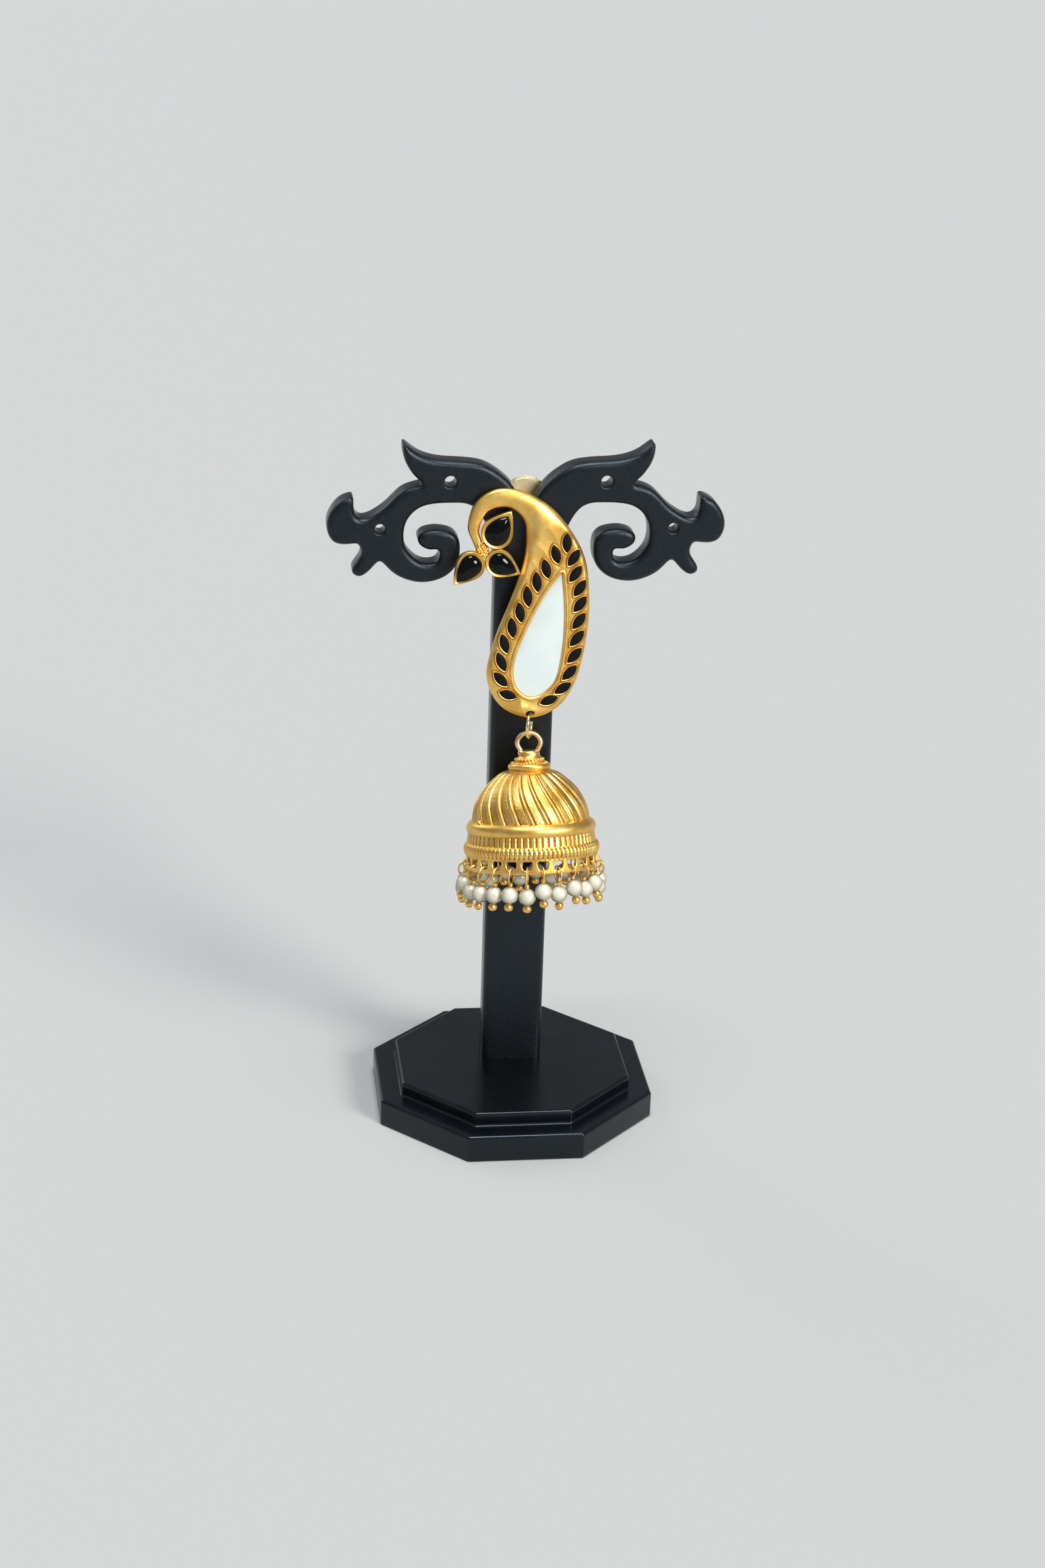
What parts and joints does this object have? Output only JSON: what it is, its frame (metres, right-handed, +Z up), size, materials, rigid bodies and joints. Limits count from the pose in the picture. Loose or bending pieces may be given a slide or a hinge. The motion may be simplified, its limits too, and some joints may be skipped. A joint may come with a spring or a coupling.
{
  "type": "jhumka earring on display stand",
  "caption": "Gold jhumka earring, a paisley peacock top over a fluted bell fringed with pearls, hung on a black earring tree.",
  "frame": {"origin": "middle of the underside of the stand's base", "axes": "+Z up, the earring hangs on the -Y side, +X to the viewer's right"},
  "size_m": [0.0918, 0.0684, 0.1662],
  "materials": {
    "stand_plastic": "black moulded plastic, satin gloss with a fine pebble grain",
    "gold": "antique gold plating, satin brushed with bright edges",
    "pale_brass": "pale bright brass",
    "shell": "bluish white mother-of-pearl, polished",
    "pearl": "cream imitation pearl with a soft sheen",
    "black_stone": "black stone, glossy in the drops and matt in the marquise inlays"
  },
  "bodies": {
    "root": {"stand_base": "stand_plastic", "stand_tree": "stand_plastic", "peacock_top": "gold", "shell_inlay": "shell", "clutch": "pale_brass"},
    "ring": {"jump_ring": "pale_brass"},
    "drop": {"bell": "gold", "pearl_01": "pearl", "pearl_02": "pearl", "pearl_03": "pearl", "pearl_04": "pearl", "pearl_05": "pearl", "pearl_06": "pearl", "pearl_07": "pearl", "pearl_08": "pearl", "pearl_09": "pearl", "pearl_10": "pearl", "pearl_11": "pearl", "pearl_12": "pearl", "pearl_13": "pearl", "pearl_14": "pearl", "pearl_15": "pearl", "pearl_16": "pearl", "pearl_17": "pearl", "pearl_18": "pearl", "pearl_19": "pearl", "pearl_20": "pearl", "pearl_21": "pearl", "pearl_22": "pearl", "pearl_23": "pearl", "pearl_24": "pearl", "pearl_25": "pearl", "pearl_26": "pearl", "headpin_01": "gold", "headpin_02": "gold", "headpin_03": "gold", "headpin_04": "gold", "headpin_05": "gold", "headpin_06": "gold", "headpin_07": "gold", "headpin_08": "gold", "headpin_09": "gold", "headpin_10": "gold", "headpin_11": "gold", "headpin_12": "gold", "headpin_13": "gold", "headpin_14": "gold", "headpin_15": "gold", "headpin_16": "gold", "headpin_17": "gold", "headpin_18": "gold", "headpin_19": "gold", "headpin_20": "gold", "headpin_21": "gold", "headpin_22": "gold", "headpin_23": "gold", "headpin_24": "gold", "headpin_25": "gold", "headpin_26": "gold"}
  },
  "joints": [
    {"name": "side_swing", "type": "hinge", "parent": "root", "child": "ring", "pos_m": [0.00057, -0.00945, 0.10447], "axis": [0, 1, 0], "range_deg": [-20, 20]},
    {"name": "forward_swing", "type": "hinge", "parent": "ring", "child": "drop", "pos_m": [0.00054, -0.00917, 0.09972], "axis": [-1, 0, 0], "range_deg": [0, 40]}
  ]
}
